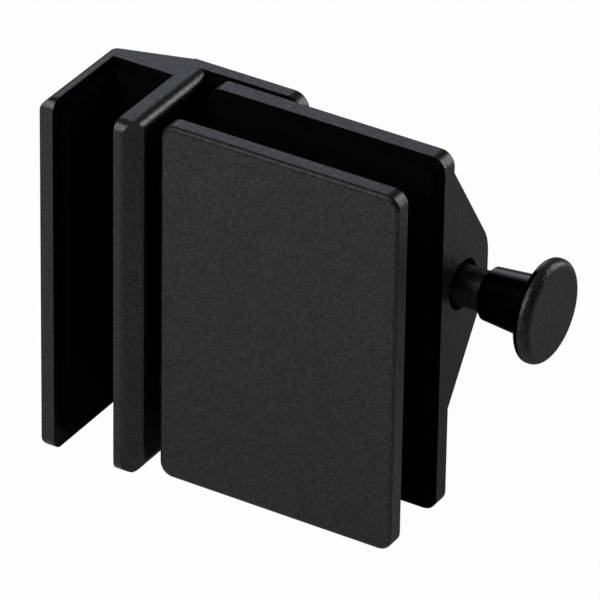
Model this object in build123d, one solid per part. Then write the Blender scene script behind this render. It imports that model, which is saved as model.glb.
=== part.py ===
from build123d import *
from math import radians, tan
import os

# Glass gate latch for two frameless panes that meet at a right angle.
# The gate's pane lies in the XZ plane and runs out to +X, and the fixed pane lies in a YZ plane.
# Origin: middle plane of the gate's pane, centre line of the clamp plates, bottom edge.
# +X runs along the gate towards the knob, +Y away from the side that the gate opens to, +Z up.
# Lengths are in millimetres and angles in degrees.

# Both halves
HEIGHT = 89.5                  # both halves are equally tall
GLASS = 12.0                   # thickness of either pane
GASKET = 1.8                   # thickness of a gasket once it is clamped
GASKET_MARGIN = 2.4            # how far a gasket stays inside a metal edge
GASKET_CORNER = 1.5

# Gate half: clamp plates
PLATE_WIDTH = 59.5
FRONT_THICKNESS = 4.2
BACK_THICKNESS = 4.0
PLATE_CORNER = 3.3
FRONT_EDGE_RADIUS = 1.0
CLAMP_SPACING = 60.0           # height between the two clamp screws
CLAMP_OFFSET = 4.0             # clamp screws lie this far to the right of the plates' middle
BOSS_DIAMETER = 11.0
BOSS_SHORTFALL = 0.5           # the bosses stop short of the back plate, so that the screws can pull
SLEEVE_WALL = 2.0
CLAMP_SCREW = 6.0              # thread diameter
CLAMP_SCREW_LENGTH = 16.0
CLAMP_HEAD = 11.6
CLAMP_HEX = 4.0
ACCESS_HOLE = 13.0             # lets the upper clamp screw in through the housing's slope

# Gate half: bolt housing on the back plate
HOUSING_BASE = 59.7            # height where it meets the back plate
HOUSING_INSET = 5.0            # from the plate's upper edge down to the housing
HOUSING_DEPTH = 15.8
HOUSING_RIDGE = 11.1           # height of its outer face, before the rounding
FLANGE_CLEARANCE = 2.0         # between the keeper's flange and the guide plate
APEX_RADIUS = 11.3
AXIS_BELOW_MIDDLE = 0.75       # bolt axis below the housing's middle
AXIS_BEHIND_PLATE = 5.2        # bolt axis behind the back plate's rear face
MOUTH_DIAMETER = 11.9
MOUTH_LIP = 3.0                # thickness of the lip that keeps the bush in
SPRING_BORE = 13.0

# Bolt, rod, spring and knob
TRAVEL = 11.0
BOLT_REACH = 10.0              # how far the bolt lies behind the keeper's flange
BOLT_HEIGHT = 13.0
BOLT_BEHIND_AXIS = 6.9
BOLT_BEFORE_AXIS = 4.3
BLOCK_LENGTH = 8.1
BEVEL_LAND = 1.3               # flat that is left at the bolt's tip
BEVEL_ANGLE = 45.0
BOLT_PIN = 2.5
PIN_FROM_SHOULDER = 4.2
SPIGOT = 5.0                   # thin end of the rod, inside the bolt
SPIGOT_LENGTH = 6.6
ROD_DIAMETER = 9.3
BUSH_LENGTH = 5.0
SPRING_WIRE = 1.0
SPRING_CLEARANCE = 0.6         # between the coils and the bore
SPRING_TURNS = 7.0
KNOB_GAP = 6.3                 # bare rod between housing and knob at rest
HUB_START = 12.2               # hub diameter at its inner end, before the chamfer
HUB_END = 14.3                 # hub diameter where it meets the disc
HUB_LENGTH = 12.3
HUB_CHAMFER = 0.8
DISC_DIAMETER = 23.9
DISC_THICKNESS = 3.9
DISC_BACK_RADIUS = 1.6
DISC_FRONT_RADIUS = 1.9
FLARE_RADIUS = 1.9             # between hub and disc
SOCKET_DEPTH = 3.0             # the rod sinks into the hub
KNOB_THREAD = 6.0
KNOB_THREAD_LENGTH = 8.0

# Guide plate at the housing's left end
GUIDE_THICKNESS = 2.0
GUIDE_HEIGHT = 31.0
GUIDE_INSET = 0.6
GUIDE_SCREW = 3.0
GUIDE_HEAD = 5.5
GUIDE_HEX = 2.0
GUIDE_SCREW_LENGTH = 8.0
GUIDE_SCREW_SPACING = 23.0

# Keeper on the fixed pane
OUTER_WALL = 3.3
MIDDLE_WALL = 5.4
SIDE_GAP = 3.5                 # between the keeper's middle wall and the clamp plates
KEEPER_LEAD = 4.8              # how far the keeper's walls reach in front of the front plate
POCKET_DEPTH = 24.4
REAR_THIN = 2.7                # pocket floor thickness at the outer wall
REAR_SLOPE = 16.8
REAR_BLEND = 12.0
NOSE_CHAMFER_X = 3.25
NOSE_CHAMFER_Y = 4.1
NOSE_RADIUS = 1.1              # on the chamfer's two upright edges
EDGE_ROUND = 2.9               # front ends of the walls
MIDDLE_ROUND = 2.4             # middle wall's edges
OUTER_ROUND = 2.6              # outer wall's edges
POCKET_MARGIN = 3.5            # how far the pocket's gaskets stay behind the walls' front ends
FLANGE_THICKNESS = 3.0
FLANGE_REACH = 20.4            # how far the flange reaches behind the clamp plates
FLANGE_CORNER = 3.7
CLOSING_GAP = 1.5              # between back plate and flange, filled by the buffers
PRESSURE_THICKNESS = 1.2
PRESSURE_WIDTH = 14.0
PRESSURE_HEIGHT = 66.0
GRUB_DIAMETER = 6.0
GRUB_HEX = 3.0
GRUB_INSET = 0.3
GRUB_FROM_FLOOR = 11.5
GRUB_SPACING = 50.0
BUFFER_HEAD = 9.0
BUFFER_STEM = 4.0
BUFFER_TAIL = 5.4
BUFFER_TAIL_LENGTH = 1.2
BUFFER_FROM_END = 10.5

# Clearances
RUNNING_GAP = 0.08             # bolt in its channel and in the guide plate
BUSH_GAP = 0.05                # rod in its bush
SEAT_GAP = 0.03                # fixed pins, screws and bushes in their holes
LATCH_GAP = 0.3                # bolt behind the flange
HEX_DEPTH_SHARE = 0.6          # depth of a hexagon socket as a share of its width
SPRING_SEAT = 0.05

# Derived places, from left to right
plate_left = -PLATE_WIDTH / 2
plate_right = PLATE_WIDTH / 2
middle_right = plate_left - SIDE_GAP
pocket_right = middle_right - MIDDLE_WALL
pane_gap = GLASS + 2 * GASKET
pocket_left = pocket_right - pane_gap
keeper_left = pocket_left - OUTER_WALL
flange_end = plate_left + FLANGE_REACH
bolt_tip = flange_end - BOLT_REACH
housing_left = flange_end + FLANGE_CLEARANCE + GUIDE_THICKNESS
block_right = housing_left + BLOCK_LENGTH
bush_right = plate_right - MOUTH_LIP
bush_left = bush_right - BUSH_LENGTH
hub_left = plate_right + KNOB_GAP
disc_left = hub_left + HUB_LENGTH
disc_right = disc_left + DISC_THICKNESS
recess_floor = pocket_right + PRESSURE_THICKNESS
buffer_x = flange_end - BUFFER_FROM_END
pin_x = housing_left + PIN_FROM_SHOULDER

# Derived places, from front to back
front_gate = -pane_gap / 2
front_face = front_gate - FRONT_THICKNESS
back_gate = pane_gap / 2
back_face = back_gate + BACK_THICKNESS
keeper_front = front_face - KEEPER_LEAD
pocket_floor = keeper_front + POCKET_DEPTH
flange_front = back_face + CLOSING_GAP
flange_rear = flange_front + FLANGE_THICKNESS
axis_y = back_face + AXIS_BEHIND_PLATE
apex_y = back_face + HOUSING_DEPTH
tongue_front = flange_rear + LATCH_GAP
block_front = axis_y - BOLT_BEFORE_AXIS
bolt_rear = axis_y + BOLT_BEHIND_AXIS
grub_y = pocket_floor - GRUB_FROM_FLOOR

# Derived heights
housing_top = HEIGHT - HOUSING_INSET
housing_middle = housing_top - HOUSING_BASE / 2
axis_z = housing_middle - AXIS_BELOW_MIDDLE
clamp_heights = (HEIGHT / 2 - CLAMP_SPACING / 2, HEIGHT / 2 + CLAMP_SPACING / 2)
grub_heights = (HEIGHT / 2 - GRUB_SPACING / 2, HEIGHT / 2 + GRUB_SPACING / 2)
guide_screw_heights = (axis_z - GUIDE_SCREW_SPACING / 2, axis_z + GUIDE_SCREW_SPACING / 2)


def block(x, y, z):
    """Box between pairs of limits."""
    size = Box(x[1] - x[0], y[1] - y[0], z[1] - z[0])
    return Pos((x[0] + x[1]) / 2, (y[0] + y[1]) / 2, (z[0] + z[1]) / 2) * size


def plane_across_x(x):
    """Drawing plane whose first axis is Y and second axis is Z."""
    return Plane(origin=(x, 0, 0), x_dir=(0, 1, 0), z_dir=(1, 0, 0))


def plane_across_y(y):
    """Drawing plane whose first axis is X and second axis points down."""
    return Plane(origin=(0, y, 0), x_dir=(1, 0, 0), z_dir=(0, 1, 0))


def rod_x(x, y, z, diameter):
    """Cylinder along X between two limits."""
    return extrude(plane_across_x(x[0]) * Pos(y, z) * Circle(diameter / 2), x[1] - x[0])


def rod_y(y, x, z, diameter):
    """Cylinder along Y between two limits."""
    return extrude(plane_across_y(y[0]) * Pos(x, -z) * Circle(diameter / 2), y[1] - y[0])


def hexagon(across_flats):
    return RegularPolygon(across_flats / 2, 6, major_radius=False)


def plate(x, y, z, corner):
    """Plate that faces Y, with rounded corners."""
    outline = RectangleRounded(x[1] - x[0], z[1] - z[0], corner)
    middle = Pos((x[0] + x[1]) / 2, -(z[0] + z[1]) / 2)
    return extrude(plane_across_y(y[0]) * middle * outline, y[1] - y[0])


def cone_head_y(y_top, x, z, head, shank):
    """Ninety degree screw head along Y, flush at y_top and pointing to -Y."""
    depth = (head - shank) / 2
    cone = Cone(bottom_radius=shank / 2, top_radius=head / 2, height=depth)
    return Pos(x, y_top - depth / 2, z) * Rot(X=-90) * cone


def cone_head_x(x_top, y, z, head, shank):
    """Ninety degree screw head along X, flush at x_top and pointing to +X."""
    depth = (head - shank) / 2
    cone = Cone(bottom_radius=shank / 2, top_radius=head / 2, height=depth)
    return Pos(x_top + depth / 2, y, z) * Rot(Y=-90) * cone


def keeper_plan():
    """Plan of the channel that holds the fixed pane, with its sloped back."""
    slope_run = (flange_rear - pocket_floor - REAR_THIN) / tan(radians(REAR_SLOPE))
    slope_end = (keeper_left + slope_run, flange_rear)
    nose_front = (middle_right - NOSE_CHAMFER_X, keeper_front)
    nose_side = (middle_right, keeper_front + NOSE_CHAMFER_Y)
    outline = Polyline(
        (keeper_left, keeper_front),
        (pocket_left, keeper_front),
        (pocket_left, pocket_floor),
        (pocket_right, pocket_floor),
        (pocket_right, keeper_front),
        nose_front,
        nose_side,
        (middle_right, flange_rear),
        slope_end,
        (keeper_left, pocket_floor + REAR_THIN),
        close=True,
    )
    face = make_face(outline)
    corners = ((slope_end, REAR_BLEND), (nose_front, NOSE_RADIUS), (nose_side, NOSE_RADIUS))
    for point, radius in corners:
        face = fillet(face.vertices().sort_by_distance((*point, 0))[0], radius)
    return face


def keeper_limits():
    return block((keeper_left, middle_right), (keeper_front, flange_rear), (0, HEIGHT))


def keeper_side_rounding():
    """Body that rounds the walls' upper and lower edges, seen from the front."""
    body = keeper_limits()
    body = fillet(body.edges().filter_by(Axis.Y).group_by(Axis.X)[-1], MIDDLE_ROUND)
    return fillet(body.edges().filter_by(Axis.Y).group_by(Axis.X)[0], OUTER_ROUND)


def keeper_front_rounding():
    """Body that rounds the walls' front ends, seen from the side."""
    body = keeper_limits()
    return fillet(body.edges().filter_by(Axis.X).group_by(Axis.Y)[0], EDGE_ROUND)


def make_strike_body():
    channel = extrude(keeper_plan(), HEIGHT)
    channel &= keeper_side_rounding()
    channel &= keeper_front_rounding()
    flange = plate(
        (pocket_right, flange_end), (flange_front, flange_rear), (0, HEIGHT), FLANGE_CORNER)
    flange += block(
        (pocket_right, middle_right + FLANGE_CORNER), (flange_front, flange_rear), (0, HEIGHT))
    body = channel + flange
    body -= pressure_recess()
    for z in grub_heights:
        body -= rod_x((pocket_right, middle_right + EDGE_ROUND), grub_y, z, GRUB_DIAMETER)
    for z in clamp_heights:
        body -= rod_y((flange_front, flange_rear), buffer_x, z, BUFFER_STEM)
    return body


def pressure_limits(gap):
    width = (grub_y - PRESSURE_WIDTH / 2 - gap, grub_y + PRESSURE_WIDTH / 2 + gap)
    height = (HEIGHT / 2 - PRESSURE_HEIGHT / 2 - gap, HEIGHT / 2 + PRESSURE_HEIGHT / 2 + gap)
    return width, height


def pressure_recess():
    width, height = pressure_limits(SEAT_GAP)
    return block((pocket_right, recess_floor), width, height)


def make_pressure_plate():
    width, height = pressure_limits(0)
    return block((pocket_right, recess_floor), width, height)


def make_grub_screws():
    """Two set screws that push the pressure plate from the middle wall."""
    screws = []
    end = middle_right - GRUB_INSET
    for z in grub_heights:
        screw = rod_x((recess_floor, end), grub_y, z, GRUB_DIAMETER - 2 * SEAT_GAP)
        socket = plane_across_x(end) * Pos(grub_y, z) * hexagon(GRUB_HEX)
        screws.append(screw - extrude(socket, -GRUB_HEX * HEX_DEPTH_SHARE))
    return Compound(children=screws)


def keeper_gasket(side_left):
    """Flat gasket on one side wall of the pocket."""
    return block(
        (side_left, side_left + GASKET),
        (keeper_front + POCKET_MARGIN, pocket_floor),
        (GASKET_MARGIN, HEIGHT - GASKET_MARGIN),
    )


def rounded_front(pad):
    """Rounds a pocket gasket's front corners to follow the walls."""
    return fillet(pad.edges().filter_by(Axis.X).group_by(Axis.Y)[0], EDGE_ROUND)


def make_strike_gasket_outer():
    return rounded_front(keeper_gasket(pocket_left))


def make_strike_gasket_inner():
    return rounded_front(keeper_gasket(pocket_right - GASKET))


def make_strike_floor_pad():
    return block(
        (pocket_left + GASKET, pocket_right - GASKET),
        (pocket_floor - GASKET, pocket_floor),
        (GASKET_MARGIN, HEIGHT - GASKET_MARGIN),
    )


def stop_buffer(z):
    """Rubber buffer that snaps through the flange and meets the back plate."""
    head = rod_y((back_face, flange_front), buffer_x, z, BUFFER_HEAD)
    stem = rod_y((flange_front, flange_rear), buffer_x, z, BUFFER_STEM - 2 * SEAT_GAP)
    depth = BUFFER_TAIL_LENGTH
    tail = Cone(bottom_radius=BUFFER_TAIL / 2, top_radius=BUFFER_STEM / 2, height=depth)
    tail = Pos(buffer_x, flange_rear + depth / 2, z) * Rot(X=-90) * tail
    return head + stem + tail


def make_front_plate():
    body = plate(
        (plate_left, plate_right), (front_face, front_gate), (0, HEIGHT), PLATE_CORNER)
    body = fillet(body.faces().sort_by(Axis.Y)[0].edges(), FRONT_EDGE_RADIUS)
    boss_end = back_gate - BOSS_SHORTFALL
    thread_end = back_face - CLAMP_SCREW_LENGTH
    for z in clamp_heights:
        body += rod_y((front_gate, boss_end), CLAMP_OFFSET, z, BOSS_DIAMETER)
        body -= rod_y((thread_end - BOSS_SHORTFALL, boss_end), CLAMP_OFFSET, z, CLAMP_SCREW)
    return body


def gate_gasket(y):
    """Flat gasket between a clamp plate and the gate's pane."""
    low = GASKET_MARGIN
    body = plate(
        (plate_left + low, plate_right - low), y, (low, HEIGHT - low), GASKET_CORNER)
    for z in clamp_heights:
        body -= rod_y(y, CLAMP_OFFSET, z, BOSS_DIAMETER + 2 * SEAT_GAP)
    return body


def glass_sleeve(z):
    """Plastic sleeve round a boss, inside the hole in the gate's pane."""
    reach = (-GLASS / 2, GLASS / 2)
    inner = BOSS_DIAMETER + 2 * SEAT_GAP
    outer = rod_y(reach, CLAMP_OFFSET, z, inner + 2 * SLEEVE_WALL)
    return outer - rod_y(reach, CLAMP_OFFSET, z, inner)


def clamp_screw(z):
    shank = CLAMP_SCREW - 2 * SEAT_GAP
    body = rod_y((back_face - CLAMP_SCREW_LENGTH, back_face), CLAMP_OFFSET, z, shank)
    body += cone_head_y(back_face, CLAMP_OFFSET, z, CLAMP_HEAD, shank)
    socket = plane_across_y(back_face) * Pos(CLAMP_OFFSET, -z) * hexagon(CLAMP_HEX)
    return body - extrude(socket, -CLAMP_HEX * HEX_DEPTH_SHARE)


def housing_profile():
    """Section of the housing across X: a rounded wedge on the back plate."""
    outline = Polyline(
        (back_face, housing_top - HOUSING_BASE),
        (apex_y, housing_middle - HOUSING_RIDGE / 2),
        (apex_y, housing_middle + HOUSING_RIDGE / 2),
        (back_face, housing_top),
        close=True,
    )
    face = make_face(outline)
    ridge = face.vertices().sort_by(Axis.X)[-2:]
    return fillet(ridge, APEX_RADIUS)


def bolt_channel():
    """Guided channel, spring bore and mouth that run through the housing."""
    channel_end = block_right + TRAVEL + LATCH_GAP
    channel = block(
        (housing_left, channel_end),
        (block_front - RUNNING_GAP, bolt_rear + RUNNING_GAP),
        (axis_z - BOLT_HEIGHT / 2 - RUNNING_GAP, axis_z + BOLT_HEIGHT / 2 + RUNNING_GAP),
    )
    bore = rod_x((housing_left, bush_right), axis_y, axis_z, SPRING_BORE)
    mouth = rod_x((bush_right, plate_right), axis_y, axis_z, MOUTH_DIAMETER)
    return channel + bore + mouth


def make_latch_body():
    """Back plate and bolt housing, cast in one."""
    body = plate((plate_left, plate_right), (back_gate, back_face), (0, HEIGHT), PLATE_CORNER)
    housing = extrude(plane_across_x(housing_left) * housing_profile(), plate_right - housing_left)
    body += housing
    body -= bolt_channel()
    for z in clamp_heights:
        body -= rod_y((back_gate, back_face), CLAMP_OFFSET, z, CLAMP_SCREW)
        body -= cone_head_y(back_face, CLAMP_OFFSET, z, CLAMP_HEAD, CLAMP_SCREW)
        body -= rod_y((back_face, apex_y), CLAMP_OFFSET, z, ACCESS_HOLE)
    hole_end = housing_left - GUIDE_THICKNESS + GUIDE_SCREW_LENGTH
    for z in guide_screw_heights:
        body -= rod_x((housing_left, hole_end + BOSS_SHORTFALL), axis_y, z, GUIDE_SCREW)
    return body


def make_guide_plate():
    """Plate that closes the channel round the bolt's tongue and stops its shoulder."""
    sheet = (housing_left - GUIDE_THICKNESS, housing_left)
    outline = offset(housing_profile(), -GUIDE_INSET, kind=Kind.INTERSECTION)
    body = extrude(plane_across_x(sheet[0]) * outline, GUIDE_THICKNESS)
    half = GUIDE_HEIGHT / 2
    body &= block(sheet, (back_face, apex_y), (axis_z - half, axis_z + half))
    body -= block(
        sheet,
        (tongue_front - RUNNING_GAP, bolt_rear + RUNNING_GAP),
        (axis_z - BOLT_HEIGHT / 2 - RUNNING_GAP, axis_z + BOLT_HEIGHT / 2 + RUNNING_GAP),
    )
    for z in guide_screw_heights:
        body -= rod_x(sheet, axis_y, z, GUIDE_SCREW)
        body -= cone_head_x(sheet[0], axis_y, z, GUIDE_HEAD, GUIDE_SCREW)
    return body


def make_guide_screws():
    screws = []
    start = housing_left - GUIDE_THICKNESS
    shank = GUIDE_SCREW - 2 * SEAT_GAP
    for z in guide_screw_heights:
        screw = rod_x((start, start + GUIDE_SCREW_LENGTH), axis_y, z, shank)
        screw += cone_head_x(start, axis_y, z, GUIDE_HEAD, shank)
        socket = plane_across_x(start) * Pos(axis_y, z) * hexagon(GUIDE_HEX)
        screws.append(screw - extrude(socket, GUIDE_HEX * HEX_DEPTH_SHARE))
    return Compound(children=screws)


def bolt_plan():
    """Plan of the bolt: flat towards the flange, bevelled on the far side."""
    tip_rear = tongue_front + BEVEL_LAND
    bevel_run = (bolt_rear - tip_rear) / tan(radians(BEVEL_ANGLE))
    outline = Polyline(
        (bolt_tip, tongue_front),
        (housing_left, tongue_front),
        (housing_left, block_front),
        (block_right, block_front),
        (block_right, bolt_rear),
        (bolt_tip + bevel_run, bolt_rear),
        (bolt_tip, tip_rear),
        close=True,
    )
    return make_face(outline)


def pin_hole():
    return Pos(pin_x, axis_y, axis_z) * Cylinder(BOLT_PIN / 2, BOLT_HEIGHT)


def make_bolt():
    low = axis_z - BOLT_HEIGHT / 2
    body = Pos(0, 0, low) * extrude(bolt_plan(), BOLT_HEIGHT)
    body -= rod_x((block_right - SPIGOT_LENGTH, block_right), axis_y, axis_z, SPIGOT)
    return body - pin_hole()


def make_pull_rod():
    body = rod_x(
        (block_right - SPIGOT_LENGTH, block_right), axis_y, axis_z, SPIGOT - 2 * SEAT_GAP)
    body += rod_x((block_right, hub_left + SOCKET_DEPTH), axis_y, axis_z, ROD_DIAMETER)
    thread_start = hub_left + SOCKET_DEPTH
    body += rod_x(
        (thread_start, thread_start + KNOB_THREAD_LENGTH), axis_y, axis_z,
        KNOB_THREAD - 2 * SEAT_GAP)
    return body - pin_hole()


def make_bolt_pin():
    return Pos(pin_x, axis_y, axis_z) * Cylinder(BOLT_PIN / 2 - SEAT_GAP, BOLT_HEIGHT)


def make_rod_bush():
    outer = rod_x((bush_left, bush_right), axis_y, axis_z, SPRING_BORE - 2 * SEAT_GAP)
    return outer - rod_x((bush_left, bush_right), axis_y, axis_z, ROD_DIAMETER + 2 * BUSH_GAP)


def make_return_spring():
    """Coil spring between the bolt and the bush, round the rod."""
    start = block_right + SPRING_WIRE / 2 + SPRING_SEAT
    end = bush_left - SPRING_WIRE / 2 - SPRING_SEAT
    radius = (SPRING_BORE - SPRING_CLEARANCE - SPRING_WIRE) / 2
    coil = Helix(
        pitch=(end - start) / SPRING_TURNS,
        height=end - start,
        radius=radius,
        center=(start, axis_y, axis_z),
        direction=(1, 0, 0),
    )
    section = Plane(origin=coil @ 0, z_dir=coil % 0) * Circle(SPRING_WIRE / 2)
    return sweep(section, path=coil, is_frenet=True)


def knob_profile():
    """Half section of the knob, drawn along its axis: first value along X, second the radius."""
    start = HUB_START / 2
    end = HUB_END / 2
    rim = DISC_DIAMETER / 2
    outline = Polyline(
        (hub_left, 0),
        (hub_left, start - HUB_CHAMFER),
        (hub_left + HUB_CHAMFER, start),
        (disc_left, end),
        (disc_left, rim),
        (disc_right, rim),
        (disc_right, 0),
        close=True,
    )
    face = make_face(outline)
    corners = (
        ((disc_left, end), FLARE_RADIUS),
        ((disc_left, rim), DISC_BACK_RADIUS),
        ((disc_right, rim), DISC_FRONT_RADIUS),
    )
    for point, radius in corners:
        face = fillet(face.vertices().sort_by_distance((*point, 0))[0], radius)
    return face


def make_knob():
    body = Pos(0, axis_y, axis_z) * revolve(knob_profile(), Axis.X)
    socket_end = hub_left + SOCKET_DEPTH
    body -= rod_x((hub_left, socket_end), axis_y, axis_z, ROD_DIAMETER + 2 * SEAT_GAP)
    body -= rod_x((socket_end, socket_end + KNOB_THREAD_LENGTH), axis_y, axis_z, KNOB_THREAD)
    return body


pieces = {
    "strike_body": make_strike_body(),
    "strike_gasket_outer": make_strike_gasket_outer(),
    "strike_gasket_inner": make_strike_gasket_inner(),
    "strike_floor_pad": make_strike_floor_pad(),
    "pressure_plate": make_pressure_plate(),
    "grub_screws": make_grub_screws(),
    "stop_buffer_lower": stop_buffer(clamp_heights[0]),
    "stop_buffer_upper": stop_buffer(clamp_heights[1]),
    "front_plate": make_front_plate(),
    "front_gasket": gate_gasket((front_gate, -GLASS / 2)),
    "rear_gasket": gate_gasket((GLASS / 2, back_gate)),
    "glass_sleeve_lower": glass_sleeve(clamp_heights[0]),
    "glass_sleeve_upper": glass_sleeve(clamp_heights[1]),
    "clamp_screw_lower": clamp_screw(clamp_heights[0]),
    "clamp_screw_upper": clamp_screw(clamp_heights[1]),
    "latch_body": make_latch_body(),
    "guide_plate": make_guide_plate(),
    "guide_screws": make_guide_screws(),
    "rod_bush": make_rod_bush(),
    "bolt": make_bolt(),
    "bolt_pin": make_bolt_pin(),
    "pull_rod": make_pull_rod(),
    "return_spring": make_return_spring(),
    "knob": make_knob(),
}

os.makedirs("parts", exist_ok=True)
for name, solid in pieces.items():
    export_step(solid, f"parts/{name}.step")
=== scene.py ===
import bpy
from math import cos, radians, sin
from mathutils import Matrix, Vector


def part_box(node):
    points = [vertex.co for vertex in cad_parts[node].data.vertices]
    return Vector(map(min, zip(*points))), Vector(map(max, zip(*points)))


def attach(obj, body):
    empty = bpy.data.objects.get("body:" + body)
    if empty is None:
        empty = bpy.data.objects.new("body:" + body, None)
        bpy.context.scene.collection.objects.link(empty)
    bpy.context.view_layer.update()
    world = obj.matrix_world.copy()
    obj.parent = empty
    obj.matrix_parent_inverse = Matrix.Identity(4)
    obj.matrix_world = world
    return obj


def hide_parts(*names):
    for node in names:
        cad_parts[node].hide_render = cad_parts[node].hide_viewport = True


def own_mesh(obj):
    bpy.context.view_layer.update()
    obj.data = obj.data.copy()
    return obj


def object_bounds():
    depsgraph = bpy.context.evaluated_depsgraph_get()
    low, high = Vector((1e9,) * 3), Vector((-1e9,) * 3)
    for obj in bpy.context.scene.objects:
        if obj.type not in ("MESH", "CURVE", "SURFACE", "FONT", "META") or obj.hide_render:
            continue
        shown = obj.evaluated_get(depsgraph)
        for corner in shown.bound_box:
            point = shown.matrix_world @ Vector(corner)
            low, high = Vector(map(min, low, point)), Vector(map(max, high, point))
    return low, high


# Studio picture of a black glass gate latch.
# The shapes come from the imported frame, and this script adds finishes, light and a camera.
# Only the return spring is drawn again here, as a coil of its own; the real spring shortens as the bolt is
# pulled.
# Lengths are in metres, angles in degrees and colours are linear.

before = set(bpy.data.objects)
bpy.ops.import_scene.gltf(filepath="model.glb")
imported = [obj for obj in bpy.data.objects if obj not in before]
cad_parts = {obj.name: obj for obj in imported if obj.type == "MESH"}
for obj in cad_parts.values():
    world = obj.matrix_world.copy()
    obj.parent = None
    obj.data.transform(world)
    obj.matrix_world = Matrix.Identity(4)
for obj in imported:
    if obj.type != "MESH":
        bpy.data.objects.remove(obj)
cad_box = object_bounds()

# Camera, as in the photograph
CAMERA_AZIMUTH = 30.89         # from the front towards the knob
CAMERA_ELEVATION = 31.51
CAMERA_ROLL = 0.92
CAMERA_DISTANCE = 1.5669
CAMERA_AIM = Vector((-0.0041, 0.0048, 0.0450))
CAMERA_LENS = 430.91           # millimetres
CAMERA_SENSOR = 36.0           # millimetres
CAMERA_NEAR = 0.01             # nothing closer than this is seen

# Lamps: direction from the part, distance, width, height, power in watts, colour
LAMPS = {
    "key": ((-0.41, -0.67, 0.60), 0.7, 0.55, 0.60, 4.9, (1.0, 1.0, 1.0)),
    "rim": ((0.510, 0.800, 0.315), 0.6, 0.23, 0.46, 1.62, (1.0, 0.99, 0.97)),
    "back": ((-0.56, 0.67, 0.42), 1.5, 0.80, 0.60, 1.8, (0.80, 0.81, 1.0)),
}
LAMP_TARGET = Vector((0.0, 0.005, 0.045))

# Floor and surroundings
WHITE = (1.0, 1.0, 1.0, 1.0)
WORLD_COLOUR = (0.78, 0.79, 0.90, 1.0)
WORLD_STRENGTH = 0.03
FLOOR_SIZE = 8.0
FLOOR_GAP = 0.0001             # keeps the floor clear of the part's lowest faces
FLOOR_GREY = 0.70
# Painted shade: behind and to the right the floor is painted darker, standing in for the part's shadow and
# the fall of the light there, which the faces towards the knob reflect
FLOOR_PAINTED_SHADE_GREY = 0.34
PAINTED_SHADE_SIDE = (0.51, 0.86, 0.0)   # the side where the floor is painted darker, as painted shade
PAINTED_SHADE_BLEND = (-0.02, 0.06)    # where the painted shade begins and ends
LIFT = 0.975                   # share of plain white in the floor and world that the camera sees
LIFT_REFLECTED = 0.06          # the same for reflections

NOISE_BLEND = (0.3, 0.7)       # part of the noise over which a surface changes

# Powder coat: small even grain over a broad mottle
COAT_COLOUR = (0.010, 0.010, 0.0102)
COAT_ROUGHNESS = 0.30
COAT_SPECULAR = 0.52
COAT_UNEVEN = (-0.03, 0.05)    # change of roughness with the mottle
GRAIN_SIZE = 0.00062
GRAIN_HEIGHT = 0.000045
GRAIN_SHADES = (0.5, 1.5)      # darkest and lightest grain, as factors of the colour
GRAIN_BLEND = (0.32, 0.68)     # part of the noise over which the grain changes
GLINT_LOW = 0.45               # weakest reflection in the grain, against the strongest
MOTTLE_SIZE = 0.0013

# Kinds of powder coat: share of the colour, roughness, specular level, grain height, weakest glint
COATS = {
    "black_powder_coat": (1.0, COAT_ROUGHNESS, COAT_SPECULAR, GRAIN_HEIGHT, GLINT_LOW),
    "knob_coat": (1.0, 0.32, COAT_SPECULAR, GRAIN_HEIGHT * 2.6, 0.25),
    # Painted shade: a duller copy that dims the highlight on the front plate's upper rounding
    "rounding_painted_shade_coat": (1.0, 0.42, 0.24, GRAIN_HEIGHT, GLINT_LOW),
    # Painted light: a copy that reflects more, which lightens the front plate's right edge
    "edge_painted_light_coat": (1.0, 0.45, 1.0, GRAIN_HEIGHT * 2.0, GLINT_LOW),
    # Painted highlight: a copy that reflects more, which brightens the band on the middle wall's rounding
    "band_painted_highlight_coat": (1.0, 0.31, 0.67, GRAIN_HEIGHT, GLINT_LOW),
    "end_coat": (1.0, COAT_ROUGHNESS, COAT_SPECULAR, GRAIN_HEIGHT * 2.6, GLINT_LOW),
    # Painted shade: a tenth of the colour and little reflection, which darkens the faces in the gaps
    "gap_painted_shade_coat": (0.1, 0.5, 0.08, GRAIN_HEIGHT, GLINT_LOW),
}

# Rubbers: grey level of the colour
RUBBERS = {
    "gasket_rubber": 0.0012,
    "buffer_rubber": 0.010,
}
RUBBER_SKIN = 0.0012           # size of the uneven skin
RUBBER_SHADES = (0.7, 1.4)
RUBBER_ROUGHNESS = (0.72, 0.9)
RUBBER_SPECULAR = 0.04
RUBBER_HEIGHT = 0.00003

# Plastics: grey level of the colour, roughness, specular level
PLASTICS = {
    # Painted shade and painted highlight on the knob's hub: a near-black copy that hardly reflects for its
    # sides, and a glossier copy for its top strip
    "hub_painted_shade_black": (0.0006, 0.3, 0.01),
    "hub_top_painted_highlight": (0.0006, 0.2, 0.5),
    "black_nylon": (0.003, 0.5, 0.06),
    "black_acetal": (0.003, 0.5, 0.06),
}
PLASTIC_CLOUD = 0.002          # size of the cloudy skin
PLASTIC_SHADES = (0.9, 1.06)
PLASTIC_UNEVEN = (-0.04, 0.06)
PLASTIC_HEIGHT = 0.00001

# Stretch of the noise: it runs on along the axes that have the small number
EVEN = (1.0, 1.0, 1.0)
ALONG_X = (0.02, 1.0, 1.0)
ALONG_Z = (1.0, 1.0, 0.02)
ROUND_X = (1.0, 0.02, 0.02)    # round a piece that is turned about X

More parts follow.
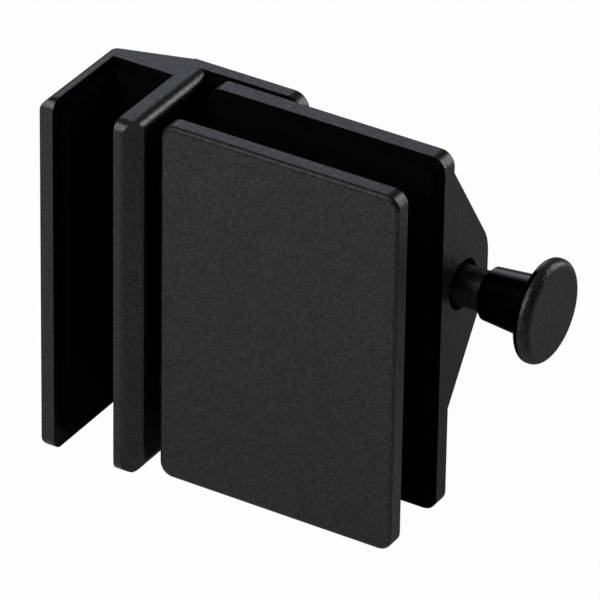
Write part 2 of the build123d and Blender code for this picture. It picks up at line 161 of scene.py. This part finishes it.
# Steels: colour, roughness, stretch of the tool marks, their size and height
STEELS = {
    "rod_steel": ((0.054, 0.0525, 0.050), 0.45, ROUND_X, 0.0003, 0.000004),
    "bolt_steel": ((0.50, 0.50, 0.49), 0.28, ALONG_X, 0.0004, 0.000005),
    "guide_steel": ((0.52, 0.52, 0.51), 0.34, ALONG_Z, 0.0004, 0.000005),
    "screw_steel": ((0.56, 0.56, 0.55), 0.30, EVEN, 0.0008, 0.000005),
    "spring_steel": ((0.50, 0.50, 0.50), 0.25, EVEN, 0.0006, 0.000003),
}
STEEL_CLOUD = 0.004            # size of the patches of uneven roughness
STEEL_SHADES = (0.8, 1.15)
STEEL_UNEVEN = (-0.05, 0.08)

# Main finish of each CAD node
FINISHES = {
    "black_powder_coat": ("strike_body", "front_plate", "latch_body"),
    "knob_coat": ("knob",),
    "gasket_rubber": (
        "strike_gasket_outer", "strike_gasket_inner", "strike_floor_pad", "front_gasket", "rear_gasket",
    ),
    "buffer_rubber": ("stop_buffer_lower", "stop_buffer_upper"),
    "guide_steel": ("pressure_plate", "guide_plate"),
    "bolt_steel": ("bolt",),
    "rod_steel": ("pull_rod",),
    "spring_steel": ("return_spring",),
    "screw_steel": ("grub_screws", "guide_screws", "clamp_screw_lower", "clamp_screw_upper", "bolt_pin"),
    "black_nylon": ("glass_sleeve_lower", "glass_sleeve_upper"),
    "black_acetal": ("rod_bush",),
}

# Faces that take a finish of their own, by the direction of their normal and the place of their middle
FACING = 0.9                   # looks along an axis
FLAT = 0.999                   # looks along an axis and belongs to no rounding
DISC_THICKNESS = 0.0039
DISC_BACK_RADIUS = 0.0016
HUB_STRIP_UP = 0.8             # the hub's upper strip looks up at least this far
HUB_STRIP_FRONT = -0.25        # and no further to the front than this
PLATE_ROUNDING = 0.05          # the front plate's upper rounding looks up and forwards at least this far
WALL_ROUNDING = 0.1            # the middle wall's rounding looks up and towards the gate at least this far
WALL_END = -0.02               # the middle wall lies to the left of this
GLASS_MIDDLE = 0.0             # middle plane of the gate's pane
INNER_SIDES = (-0.056, -0.032)     # the pocket and the middle wall's gate side lie between these

# Coil of the return spring
SPRING_TURNS = 7
SPRING_WIRE = 0.0010
SPRING_STEPS = 32              # steps in one turn of the coil
SPRING_SIDES = 10              # sides of the wire

# Where the hub ends and the rounded back of the knob's disc begins
hub_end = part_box("knob")[1].x - DISC_THICKNESS + DISC_BACK_RADIUS


def shade(colour, factor):
    """Colour made darker or lighter."""
    return tuple(channel * factor for channel in colour)


def new_material(name):
    """Empty node material with its output and a plain surface shader."""
    material = bpy.data.materials.new(name)
    material.use_nodes = True
    tree = material.node_tree
    tree.nodes.clear()
    output = tree.nodes.new("ShaderNodeOutputMaterial")
    shader = tree.nodes.new("ShaderNodeBsdfPrincipled")
    tree.links.new(shader.outputs["BSDF"], output.inputs["Surface"])
    return material, tree, shader


def object_coordinates(tree, stretch=EVEN):
    """Coordinates in metres, fixed to the piece, with each axis scaled."""
    source = tree.nodes.new("ShaderNodeTexCoord")
    mapping = tree.nodes.new("ShaderNodeMapping")
    mapping.inputs["Scale"].default_value = stretch
    tree.links.new(source.outputs["Object"], mapping.inputs["Vector"])
    return mapping.outputs["Vector"]


def noise(tree, vector, size, detail=2.0, roughness=0.5):
    """Noise whose features are about size metres across."""
    node = tree.nodes.new("ShaderNodeTexNoise")
    node.inputs["Scale"].default_value = 1.0 / size
    node.inputs["Detail"].default_value = detail
    node.inputs["Roughness"].default_value = roughness
    tree.links.new(vector, node.inputs["Vector"])
    return node.outputs["Fac"]


def spread(tree, value, low, high, blend=NOISE_BLEND):
    """Maps noise to a range of values."""
    node = tree.nodes.new("ShaderNodeMapRange")
    node.inputs["From Min"].default_value = blend[0]
    node.inputs["From Max"].default_value = blend[1]
    node.inputs["To Min"].default_value = low
    node.inputs["To Max"].default_value = high
    tree.links.new(value, node.inputs["Value"])
    return node.outputs["Result"]


def two_tones(tree, value, first, last, blend=NOISE_BLEND):
    """Blends two colours by noise."""
    ramp = tree.nodes.new("ShaderNodeValToRGB")
    ramp.color_ramp.elements[0].position = blend[0]
    ramp.color_ramp.elements[0].color = (*first, 1.0)
    ramp.color_ramp.elements[1].position = blend[1]
    ramp.color_ramp.elements[1].color = (*last, 1.0)
    tree.links.new(value, ramp.inputs["Fac"])
    return ramp.outputs["Color"]


def bump(tree, shader, value, height, below=None):
    """Raises the surface by noise, on top of an earlier bump if one is given."""
    node = tree.nodes.new("ShaderNodeBump")
    node.inputs["Strength"].default_value = 1.0
    node.inputs["Distance"].default_value = height
    tree.links.new(value, node.inputs["Height"])
    if below is not None:
        tree.links.new(below, node.inputs["Normal"])
    tree.links.new(node.outputs["Normal"], shader.inputs["Normal"])
    return node.outputs["Normal"]


def paint(tree, shader, value, colour, shades, blend=NOISE_BLEND):
    """Colours the surface by noise, between a darker and a lighter shade."""
    tone = two_tones(tree, value, shade(colour, shades[0]), shade(colour, shades[1]), blend)
    tree.links.new(tone, shader.inputs["Base Color"])


def roughen(tree, shader, value, low, high):
    """Varies the roughness by noise."""
    tree.links.new(spread(tree, value, low, high), shader.inputs["Roughness"])


def powder_coat(name, share, roughness, specular, grain_height, glint_low):
    """Fine-textured black powder coat."""
    material, tree, shader = new_material(name)
    place = object_coordinates(tree)
    grain = noise(tree, place, GRAIN_SIZE, detail=3.0, roughness=0.6)
    mottle = noise(tree, place, MOTTLE_SIZE)
    paint(tree, shader, grain, shade(COAT_COLOUR, share), GRAIN_SHADES, GRAIN_BLEND)
    glint = two_tones(tree, grain, (glint_low,) * 3, WHITE[:3], GRAIN_BLEND)
    tree.links.new(glint, shader.inputs["Specular Tint"])
    roughen(tree, shader, mottle, roughness + COAT_UNEVEN[0], roughness + COAT_UNEVEN[1])
    shader.inputs["Specular IOR Level"].default_value = specular
    broad = bump(tree, shader, mottle, grain_height)
    bump(tree, shader, grain, grain_height, broad)
    return material


def rubber(name, grey):
    """Matt black rubber with a slightly uneven skin."""
    material, tree, shader = new_material(name)
    skin = noise(tree, object_coordinates(tree), RUBBER_SKIN, detail=4.0, roughness=0.65)
    paint(tree, shader, skin, (grey,) * 3, RUBBER_SHADES)
    roughen(tree, shader, skin, *RUBBER_ROUGHNESS)
    shader.inputs["Specular IOR Level"].default_value = RUBBER_SPECULAR
    bump(tree, shader, skin, RUBBER_HEIGHT)
    return material


def plastic(name, grey, roughness, specular):
    """Moulded plastic with a faint cloudy skin."""
    material, tree, shader = new_material(name)
    cloud = noise(tree, object_coordinates(tree), PLASTIC_CLOUD, detail=3.0)
    paint(tree, shader, cloud, (grey,) * 3, PLASTIC_SHADES)
    roughen(tree, shader, cloud, roughness + PLASTIC_UNEVEN[0], roughness + PLASTIC_UNEVEN[1])
    shader.inputs["Specular IOR Level"].default_value = specular
    bump(tree, shader, cloud, PLASTIC_HEIGHT)
    return material


def steel(name, colour, roughness, stretch, mark_size, mark_height):
    """Stainless steel with fine tool marks and patches of uneven roughness."""
    material, tree, shader = new_material(name)
    marks = noise(tree, object_coordinates(tree, stretch), mark_size, detail=3.0, roughness=0.6)
    cloud = noise(tree, object_coordinates(tree), STEEL_CLOUD)
    paint(tree, shader, marks, colour, STEEL_SHADES)
    roughen(tree, shader, cloud, roughness + STEEL_UNEVEN[0], roughness + STEEL_UNEVEN[1])
    shader.inputs["Metallic"].default_value = 1.0
    bump(tree, shader, marks, mark_height)
    return material


def make_materials():
    """Every finish by its name."""
    made = {name: powder_coat(name, *values) for name, values in COATS.items()}
    made.update({name: rubber(name, grey) for name, grey in RUBBERS.items()})
    made.update({name: plastic(name, *values) for name, values in PLASTICS.items()})
    made.update({name: steel(name, *values) for name, values in STEELS.items()})
    return made


def on_hub(face):
    """The knob's turned hub, up to the rounded back of its disc."""
    return face.center.x < hub_end


def on_hub_strip(face):
    """The strip on top of the hub."""
    return on_hub(face) and face.normal.z > HUB_STRIP_UP and face.normal.y > HUB_STRIP_FRONT


def on_plate_rounding(face):
    """The rounding along the front plate's upper edge."""
    return face.normal.z > PLATE_ROUNDING and face.normal.y < -PLATE_ROUNDING


def on_plate_side(face):
    """The front plate's right edge."""
    return face.normal.x > FACING and not on_plate_rounding(face)


def on_wall_rounding(face):
    """The rounding along the middle wall's upper edge, on the gate's side."""
    leans = face.normal.z > WALL_ROUNDING and face.normal.x > WALL_ROUNDING
    return leans and face.center.x < WALL_END


def on_latch_end(face):
    """The faces of back plate and housing that look towards the knob."""
    return face.normal.x > FACING


def on_inner_side(face):
    """Faces that look towards the glass or the gate."""
    towards_gate = face.normal.y < -FACING and face.center.y > GLASS_MIDDLE
    beside_glass = abs(face.normal.x) > FLAT and INNER_SIDES[0] < face.center.x < INNER_SIDES[1]
    return towards_gate or beside_glass


def finish_faces(node, material, chosen):
    """Gives the chosen faces of a CAD node a finish of their own."""
    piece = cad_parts[node]
    piece.data.materials.append(material)
    slot = len(piece.data.materials) - 1
    for face in piece.data.polygons:
        if chosen(face):
            face.material_index = slot


def finish_nodes(materials):
    """Gives every CAD node its main finish, and some of its faces another."""
    for finish, nodes in FINISHES.items():
        for node in nodes:
            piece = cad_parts[node]
            piece.data.materials.clear()
            piece.data.materials.append(materials[finish])
    # Painted shade: the knob's turned hub, up to its disc, takes a near-black copy that hardly reflects;
    # only the disc is textured.
    finish_faces("knob", materials["hub_painted_shade_black"], on_hub)
    # Painted highlight: the hub's top strip takes a glossier copy, where the light along its top falls.
    finish_faces("knob", materials["hub_top_painted_highlight"], on_hub_strip)
    # Painted shade and painted light: the front plate's narrow upper rounding takes a duller copy of the
    # coat, which dims its highlight, and its right edge a copy that reflects more, which lightens it.
    finish_faces("front_plate", materials["rounding_painted_shade_coat"], on_plate_rounding)
    finish_faces("front_plate", materials["edge_painted_light_coat"], on_plate_side)
    # Painted highlight: the middle wall's upper rounding takes a copy of the coat that reflects more, which
    # brightens its band.
    finish_faces("strike_body", materials["band_painted_highlight_coat"], on_wall_rounding)
    # The grain stands out more on the faces towards the knob.
    finish_faces("latch_body", materials["end_coat"], on_latch_end)
    # Painted shade: faces towards the glass and the gate take a much darker copy of the coat that hardly
    # reflects, so that the gaps read black.
    finish_faces("strike_body", materials["gap_painted_shade_coat"], on_inner_side)
    finish_faces("latch_body", materials["gap_painted_shade_coat"], on_inner_side)


def make_spring(material):
    """Coil that stands for the return spring, drawn to the length of its box."""
    low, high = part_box("return_spring")
    middle = (low + high) / 2
    radius = (high.y - low.y - SPRING_WIRE) / 2
    first = low.x + SPRING_WIRE / 2
    length = high.x - low.x - SPRING_WIRE
    steps = SPRING_TURNS * SPRING_STEPS
    points = []
    faces = []
    for i in range(steps + 1):
        turn = radians(360.0 * i / SPRING_STEPS)
        out = Vector((0.0, cos(turn), sin(turn)))
        centre = Vector((first + length * i / steps, middle.y, middle.z)) + out * radius
        for j in range(SPRING_SIDES):
            side = radians(360.0 * j / SPRING_SIDES)
            points.append(centre + (out * cos(side) + Vector((sin(side), 0.0, 0.0))) * SPRING_WIRE / 2)
            after = (j + 1) % SPRING_SIDES
            if i < steps:
                ring = i * SPRING_SIDES
                faces.append((ring + j, ring + SPRING_SIDES + j, ring + SPRING_SIDES + after, ring + after))
    faces.append(tuple(range(SPRING_SIDES)))
    faces.append(tuple(reversed(range(steps * SPRING_SIDES, (steps + 1) * SPRING_SIDES))))
    mesh = bpy.data.meshes.new("return_spring_coil")
    mesh.from_pydata(points, [], faces)
    mesh.polygons.foreach_set("use_smooth", [True] * len(mesh.polygons))
    mesh.materials.append(material)
    coil = bpy.data.objects.new("return_spring_coil", mesh)
    bpy.context.scene.collection.objects.link(coil)
    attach(coil, "latch_and_keeper")
    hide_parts("return_spring")
    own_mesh(coil)


def white_share(tree):
    """Share of plain white for the camera's rays and, smaller, for reflections."""
    path = tree.nodes.new("ShaderNodeLightPath")
    reflected = tree.nodes.new("ShaderNodeMath")
    reflected.operation = "MAXIMUM"
    tree.links.new(path.outputs["Is Glossy Ray"], reflected.inputs[0])
    tree.links.new(path.outputs["Is Transmission Ray"], reflected.inputs[1])
    less = tree.nodes.new("ShaderNodeMath")
    less.operation = "MULTIPLY"
    less.inputs[1].default_value = LIFT_REFLECTED
    tree.links.new(reflected.outputs[0], less.inputs[0])
    share = tree.nodes.new("ShaderNodeMath")
    share.operation = "MULTIPLY_ADD"
    share.inputs[1].default_value = LIFT
    tree.links.new(path.outputs["Is Camera Ray"], share.inputs[0])
    tree.links.new(less.outputs[0], share.inputs[2])
    return share.outputs[0]


def lift_to_white(tree, plain, white, output):
    """Mixes a plain shader with a white one by the share of white."""
    mix = tree.nodes.new("ShaderNodeMixShader")
    tree.links.new(white_share(tree), mix.inputs[0])
    tree.links.new(plain.outputs[0], mix.inputs[1])
    tree.links.new(white.outputs[0], mix.inputs[2])
    tree.links.new(mix.outputs["Shader"], output.inputs["Surface"])


def floor_material():
    """Pale floor that is lifted towards white and keeps a soft shadow, with painted shade behind and to the
    right.
    """
    material = bpy.data.materials.new("pale_floor")
    material.use_nodes = True
    tree = material.node_tree
    tree.nodes.clear()
    output = tree.nodes.new("ShaderNodeOutputMaterial")
    plain = tree.nodes.new("ShaderNodeBsdfDiffuse")
    # Painted shade: the floor turns darker beyond a line across it, behind and to the right
    along = tree.nodes.new("ShaderNodeVectorMath")
    along.operation = "DOT_PRODUCT"
    along.inputs[1].default_value = PAINTED_SHADE_SIDE
    tree.links.new(object_coordinates(tree), along.inputs[0])
    painted_shade = spread(tree, along.outputs["Value"], 0.0, 1.0, PAINTED_SHADE_BLEND)
    grey = two_tones(tree, painted_shade, (FLOOR_GREY,) * 3, (FLOOR_PAINTED_SHADE_GREY,) * 3, (0.0, 1.0))
    tree.links.new(grey, plain.inputs["Color"])
    white = tree.nodes.new("ShaderNodeEmission")
    white.inputs["Color"].default_value = WHITE
    white.inputs["Strength"].default_value = 1.0
    lift_to_white(tree, plain, white, output)
    return material


def make_floor():
    """Wide plain floor just under the part."""
    half = FLOOR_SIZE / 2
    mesh = bpy.data.meshes.new("floor")
    corners = [(-half, -half, 0.0), (half, -half, 0.0), (half, half, 0.0), (-half, half, 0.0)]
    mesh.from_pydata(corners, [], [(0, 1, 2, 3)])
    mesh.materials.append(floor_material())
    floor = bpy.data.objects.new("floor", mesh)
    bpy.context.scene.collection.objects.link(floor)
    floor.location.z = cad_box[0][2] - FLOOR_GAP


def make_world():
    """Dim even surroundings, which the camera sees as white."""
    world = bpy.data.worlds.new("studio")
    bpy.context.scene.world = world
    world.use_nodes = True
    tree = world.node_tree
    dim = tree.nodes["Background"]
    dim.inputs["Color"].default_value = WORLD_COLOUR
    dim.inputs["Strength"].default_value = WORLD_STRENGTH
    white = tree.nodes.new("ShaderNodeBackground")
    white.inputs["Color"].default_value = WHITE
    white.inputs["Strength"].default_value = 1.0
    lift_to_white(tree, dim, white, tree.nodes["World Output"])


def make_lamps():
    """Rectangular lamps that look at the part."""
    for name, (direction, distance, width, height, power, colour) in LAMPS.items():
        light = bpy.data.lights.new(name, "AREA")
        light.shape = "RECTANGLE"
        light.size = width
        light.size_y = height
        light.energy = power
        light.color = colour
        lamp = bpy.data.objects.new(name, light)
        towards = Vector(direction).normalized()
        lamp.location = LAMP_TARGET + towards * distance
        lamp.rotation_euler = towards.to_track_quat("Z", "Y").to_euler()
        bpy.context.scene.collection.objects.link(lamp)


def make_camera():
    """Camera at the photograph's angle, with its slight roll."""
    azimuth = radians(CAMERA_AZIMUTH)
    elevation = radians(CAMERA_ELEVATION)
    roll = radians(CAMERA_ROLL)
    back = Vector((sin(azimuth) * cos(elevation), -cos(azimuth) * cos(elevation), sin(elevation)))
    level = Vector((cos(azimuth), sin(azimuth), 0.0))
    rise = back.cross(level)
    right = level * cos(roll) + rise * sin(roll)
    up = rise * cos(roll) - level * sin(roll)
    turn = Matrix((right, up, back)).transposed().to_4x4()
    data = bpy.data.cameras.new("camera")
    data.lens = CAMERA_LENS
    data.sensor_width = CAMERA_SENSOR
    data.sensor_fit = "HORIZONTAL"
    data.clip_start = CAMERA_NEAR
    camera = bpy.data.objects.new("camera", data)
    camera.matrix_world = Matrix.Translation(CAMERA_AIM + back * CAMERA_DISTANCE) @ turn
    bpy.context.scene.collection.objects.link(camera)
    bpy.context.scene.camera = camera


finishes = make_materials()
finish_nodes(finishes)
make_spring(finishes["spring_steel"])
make_floor()
make_world()
make_lamps()
make_camera()
bpy.context.scene.view_settings.view_transform = "Standard"
